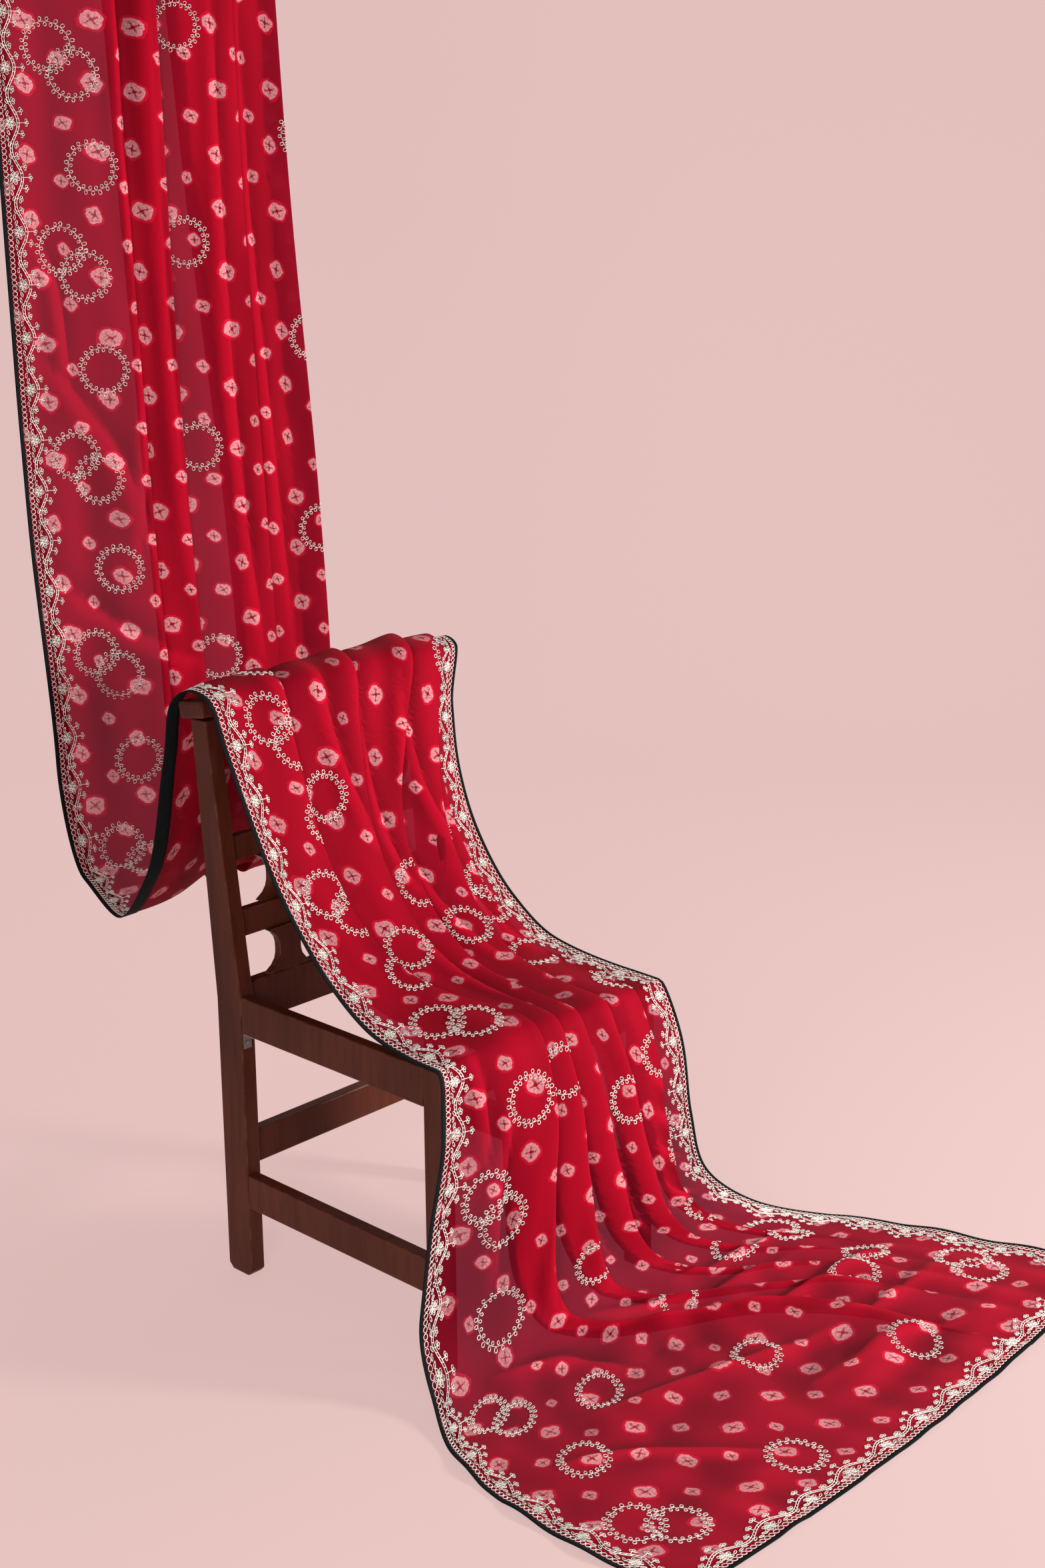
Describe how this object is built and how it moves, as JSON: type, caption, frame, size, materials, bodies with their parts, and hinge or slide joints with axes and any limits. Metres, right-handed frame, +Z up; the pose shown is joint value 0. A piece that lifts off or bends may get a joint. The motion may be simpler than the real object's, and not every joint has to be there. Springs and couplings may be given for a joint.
{
  "type": "bandhani cloth draped over a wooden chair",
  "caption": "Long sheer tie-dyed cloth with a bound border, hung from above, swagged over the back of a plain wooden chair and spread out on the floor in front.",
  "frame": {"origin": "centre of the whole object's footprint box, on the floor", "axes": "+Z up along the hanging length, -Y from the chair's back towards its front and the hem, X along the chair's width"},
  "size_m": [1.0716, 1.592, 1.9501],
  "materials": {
    "cloth": "sheer matt",
    "binding": "matt",
    "wood": "satin",
    "steel": "dull"
  },
  "bodies": {
    "root": {"back_rail_lower": "wood", "back_rail_upper": "wood", "binding": "binding", "bracket_screw": "steel", "cloth": "cloth", "corner_bracket": "steel", "crest_rail": "wood", "front_leg_far": "wood", "front_leg_near": "wood", "rear_leg_far": "wood", "rear_leg_near": "wood", "seat_rail_far": "wood", "seat_rail_front": "wood", "seat_rail_near": "wood", "seat_rail_rear": "wood", "splat_lower_1": "wood", "splat_lower_2": "wood", "splat_lower_3": "wood", "splat_upper_1": "wood", "splat_upper_2": "wood", "splat_upper_3": "wood", "stretcher_far": "wood", "stretcher_near": "wood", "stretcher_rear": "wood"}
  },
  "joints": []
}
